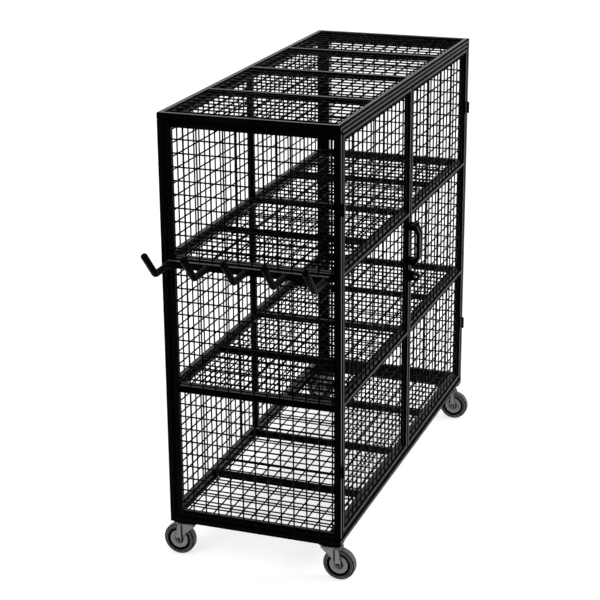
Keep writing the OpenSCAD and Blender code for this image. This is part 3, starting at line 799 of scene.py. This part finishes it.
def add_wire(bm, start, end, radius):
    """A round wire with its cut ends slightly eased."""
    length = (end - start).length
    ease = 0.25 * radius
    profile = [(0, radius - ease), (ease, radius), (length - ease, radius), (length, radius - ease)]
    add_turned(bm, start, end - start, profile, WIRE_SIDES)


def add_nugget(bm, a, b, radius):
    """The flattened spot weld where two crossing wires touch."""
    middle = (a + b) / 2
    normal = (b - a).normalized()
    half = 0.34 * radius
    profile = [(0, 1.1 * radius), (half, 1.5 * radius), (2 * half, 1.1 * radius)]
    add_turned(bm, middle - normal * half, normal, profile, NUGGET_SIDES)


def wire_mesh(node):
    """Round wires welded at every crossing."""
    bm = bmesh.new()
    wires = wires_of(node)
    for start, end, radius, _ in wires:
        add_wire(bm, start, end, radius)
    first = wires[0][3]
    for s0, e0, r0, axis0 in wires:
        if axis0 != first:
            continue
        for s1, e1, r1, axis1 in wires:
            if axis1 == first:
                continue
            a, b = s0.copy(), s1.copy()
            a[axis0] = s1[axis0]
            b[axis1] = s0[axis1]
            along_second = s1[axis1] - r0 < s0[axis1] < e1[axis1] + r0
            along_first = s0[axis0] - r1 < s1[axis0] < e0[axis0] + r1
            if along_second and along_first:
                add_nugget(bm, a, b, r0)
    piece = add_piece(node + "_wires", bm, NODE_BODY[node], "mesh_paint", smooth_deg=60)
    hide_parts(node)


def wire_meshes():
    """Every welded mesh of the cage, the shelves and the doors."""
    for node in ("near_end_mesh", "far_end_mesh", "back_mesh", "top_mesh", "deck_mesh", "lower_shelf_mesh",
                 "upper_shelf_mesh", "near_door_mesh", "far_door_mesh"):
        wire_mesh(node)


# Stage

WHITE = grey(1)
# Strength of the white world as the camera sees it and as it lights the cart, and of the floor's own glow
WORLD_SEEN = 1.0
WORLD_LIGHT = 0.7
FLOOR_GLOW = 0.58
# Tones of the floor as it shows and as it throws light back at the cart
FLOOR_SEEN = grey(0.75)
FLOOR_LIGHT = grey(0.7)
FLOOR_HALF = 30
# Lamps: place, size across, power, and the point that they are aimed at
LAMPS = {
    "key": ((1.5, -4.5, 4.5), 2.5, 90, CAGE_CENTRE),
    "fill": ((-4.5, 1.5, 3.5), 3.0, 50, CAGE_CENTRE),
    "low": ((-0.1, -1.7, 0.3), 0.6, 10, (0.9, -0.28, 0.06)),
}


def light_path_mix(tree, seen, unseen):
    """Chooses the shader seen by the camera and in reflections, or the one that lights the scene."""
    path = node_of(tree, "ShaderNodeLightPath", -600, 300)
    glossy = node_of(tree, "ShaderNodeMath", -400, 300)
    glossy.operation = "MAXIMUM"
    tree.links.new(path.outputs["Is Camera Ray"], glossy.inputs[0])
    tree.links.new(path.outputs["Is Glossy Ray"], glossy.inputs[1])
    both = node_of(tree, "ShaderNodeMath", -200, 300)
    both.operation = "MAXIMUM"
    tree.links.new(glossy.outputs[0], both.inputs[0])
    tree.links.new(path.outputs["Is Transmission Ray"], both.inputs[1])
    mix = node_of(tree, "ShaderNodeMixShader", 200)
    tree.links.new(both.outputs[0], mix.inputs["Fac"])
    tree.links.new(unseen, mix.inputs[1])
    tree.links.new(seen, mix.inputs[2])
    return mix.outputs["Shader"]


def world():
    """A white studio, which lights the cart less than it shows."""
    w = bpy.data.worlds.new("studio")
    bpy.context.scene.world = w
    tree = empty_tree(w)
    seen = node_of(tree, "ShaderNodeBackground", 0, 100, Color=WHITE, Strength=WORLD_SEEN)
    unseen = node_of(tree, "ShaderNodeBackground", 0, -100, Color=WHITE, Strength=WORLD_LIGHT)
    out = node_of(tree, "ShaderNodeOutputWorld", 400)
    mixed = light_path_mix(tree, seen.outputs["Background"], unseen.outputs["Background"])
    tree.links.new(mixed, out.inputs["Surface"])


def floor():
    """A white floor that shows only the soft shadow under the cart."""
    mesh = bpy.data.meshes.new("floor")
    outline = [(x * FLOOR_HALF, y * FLOOR_HALF, 0) for x, y in ((-1, -1), (1, -1), (1, 1), (-1, 1))]
    mesh.from_pydata(outline, [], [(0, 1, 2, 3)])
    m = bpy.data.materials.new("floor")
    tree = empty_tree(m)
    glow = node_of(tree, "ShaderNodeEmission", -300, 100, Color=WHITE, Strength=FLOOR_GLOW)
    matt = node_of(tree, "ShaderNodeBsdfDiffuse", -300, -50, Color=FLOOR_SEEN)
    both = node_of(tree, "ShaderNodeAddShader", -100, 100)
    tree.links.new(glow.outputs["Emission"], both.inputs[0])
    tree.links.new(matt.outputs["BSDF"], both.inputs[1])
    plain = node_of(tree, "ShaderNodeBsdfDiffuse", -100, -150, Color=FLOOR_LIGHT)
    out = node_of(tree, "ShaderNodeOutputMaterial", 500)
    mixed = light_path_mix(tree, both.outputs["Shader"], plain.outputs["BSDF"])
    tree.links.new(mixed, out.inputs["Surface"])
    mesh.materials.append(m)
    add_object("floor", mesh)


def lights():
    """Soft round lamps: two for the whole cart, and a low one for the casters that the cart shades."""
    for name, (place, size, power, aim) in LAMPS.items():
        data = bpy.data.lights.new(name, "AREA")
        data.shape = "DISK"
        data.size = size
        data.energy = power
        lamp = add_object(name, data)
        lamp.location = place
        lamp.rotation_euler = (Vector(aim) - Vector(place)).to_track_quat("-Z", "Y").to_euler()


# Camera, solved from the cage's corners in the photograph: azimuth, elevation and roll in degrees,
# distance and aim in cage heights, focal length in widths of the photograph
CAMERA_AZ = -69.906
CAMERA_EL = 19.009
CAMERA_ROLL = 0.460
CAMERA_DIST = 4.3439
CAMERA_AIM = (0.0732, -0.0879)
CAMERA_FOCAL = 1702.7 / 600
SENSOR = 36


def camera():
    """The view of the photograph."""
    az, el, roll = (math.radians(a) for a in (CAMERA_AZ, CAMERA_EL, CAMERA_ROLL))
    back = Vector((math.sin(az) * math.cos(el), -math.cos(az) * math.cos(el), math.sin(el)))
    right = (-back).cross(Vector((0, 0, 1))).normalized()
    down = (-back).cross(right)
    x = right * math.cos(roll) + down * math.sin(roll)
    y = right * math.sin(roll) - down * math.cos(roll)
    place = CAGE_CENTRE + CAGE_H * (CAMERA_DIST * back - CAMERA_AIM[0] * x + CAMERA_AIM[1] * y)
    data = bpy.data.cameras.new("photo")
    data.sensor_width = SENSOR
    data.lens = CAMERA_FOCAL * SENSOR
    data.clip_end = 100
    cam = add_object("photo", data)
    cam.matrix_world = Matrix.Translation(place) @ Matrix((x, y, back)).transposed().to_4x4()
    bpy.context.scene.camera = cam


def plain_nodes():
    """Every CAD node takes the material of its slot, so that one that shows fits in with the pieces."""
    for name, o in frame["nodes"].items():
        material = SLOT_MATERIAL[NODE_SLOT[name]]
        if name.endswith("bolts") or name.endswith("_axle") or name == "caster_king_pins":
            material = BOLT_ZINC
        o.data.materials.clear()
        o.data.materials.append(material)


camera()
world()
floor()
lights()
plain_nodes()
tube_frames()
hardware()
hooks()
casters()
wire_meshes()
bpy.context.scene.view_settings.view_transform = "Standard"
